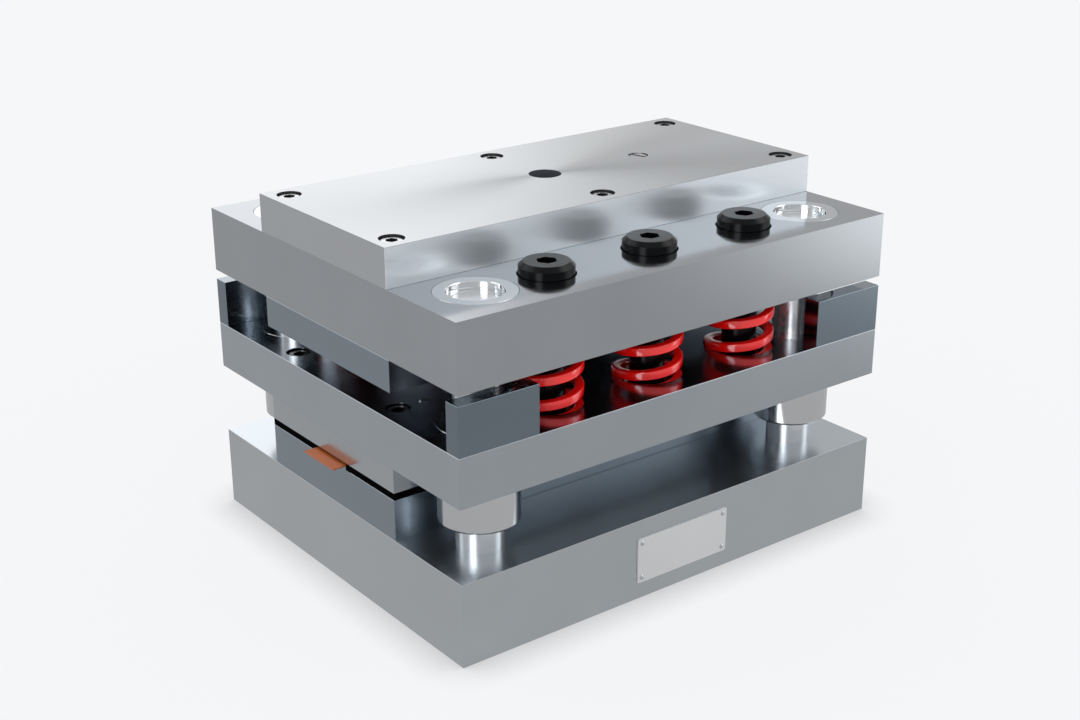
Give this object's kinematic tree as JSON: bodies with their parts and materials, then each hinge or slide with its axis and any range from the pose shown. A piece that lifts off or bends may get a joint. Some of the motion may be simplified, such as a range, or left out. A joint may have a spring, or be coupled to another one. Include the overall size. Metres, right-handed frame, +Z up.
{
  "type": "progressive stamping die",
  "caption": "Stamping die set with pillar-guided shoes, a sprung stripper, stop blocks, a punch plate and a copper strip fed between stock guides.",
  "frame": {"origin": "centre of the lower shoe's underside, the face that rests on the press bolster", "axes": "+Z up along the press stroke, +X along the strip's feed, -Y towards the front with the nameplate"},
  "size_m": [0.316, 0.2516, 0.211],
  "materials": {
    "ground_steel": "ground",
    "dark_steel": "ground and hardened",
    "tool_steel": "polished",
    "polished_steel": "polished",
    "bush_steel": "satin",
    "black_oxide": "black oxide",
    "red_enamel": "gloss",
    "nameplate": "satin",
    "copper": "bright"
  },
  "bodies": {
    "lower_die": {"lower_shoe": "ground_steel", "die_plate": "dark_steel", "piercing_die_bush": "tool_steel", "blanking_die_insert": "tool_steel", "front_stock_guide": "black_oxide", "rear_stock_guide": "black_oxide", "stock_guide_screws": "black_oxide", "guide_post_front_left": "polished_steel", "guide_post_front_right": "polished_steel", "guide_post_rear_left": "polished_steel", "guide_post_rear_right": "polished_steel", "die_plate_screws": "black_oxide", "die_plate_dowels": "tool_steel", "nameplate": "nameplate", "nameplate_rivets": "tool_steel"},
    "stripper": {"stripper_plate": "ground_steel", "stripper_insert": "dark_steel", "stripper_insert_screws": "black_oxide", "stripper_insert_dowels": "tool_steel", "stripper_bush_front_left": "bush_steel", "stripper_bush_front_right": "bush_steel", "stripper_bush_rear_left": "bush_steel", "stripper_bush_rear_right": "bush_steel", "stop_block_front_left": "dark_steel", "stop_block_front_right": "dark_steel", "stop_block_rear_left": "dark_steel", "stop_block_rear_right": "dark_steel", "stop_block_screws": "black_oxide", "shoulder_bolts": "black_oxide", "die_spring_front_left": "red_enamel", "die_spring_front_middle": "red_enamel", "die_spring_front_right": "red_enamel", "die_spring_rear_left": "red_enamel", "die_spring_rear_middle": "red_enamel", "die_spring_rear_right": "red_enamel"},
    "upper_die": {"upper_shoe": "ground_steel", "punch_plate": "dark_steel", "punch_plate_screws": "black_oxide", "punch_plate_dowels": "tool_steel", "top_plate": "ground_steel", "top_plate_screws": "black_oxide", "upper_bush_front_left": "bush_steel", "upper_bush_front_right": "bush_steel", "upper_bush_rear_left": "bush_steel", "upper_bush_rear_right": "bush_steel", "piercing_punch": "tool_steel", "blanking_punch": "tool_steel", "entry_pilot": "tool_steel", "exit_pilot": "tool_steel", "pilot_spacer": "tool_steel", "pilot_plug": "tool_steel"},
    "copper_strip": {"copper_strip": "copper"}
  },
  "joints": [
    {"name": "stripper_lift", "type": "slide", "parent": "lower_die", "child": "stripper", "axis": [0, 0, 1], "range_m": [0, 0.025]},
    {"name": "upper_close", "type": "slide", "parent": "stripper", "child": "upper_die", "axis": [0, 0, 1], "range_m": [-0.0055, 0], "stiffness_N_per_m": 300000, "springref_m": 0.003, "deforming": ["die_spring_front_left", "die_spring_front_middle", "die_spring_front_right", "die_spring_rear_left", "die_spring_rear_middle", "die_spring_rear_right"]},
    {"name": "strip_feed", "type": "slide", "parent": "lower_die", "child": "copper_strip", "axis": [1, 0, 0], "range_m": [-0.0235, 0]}
  ]
}
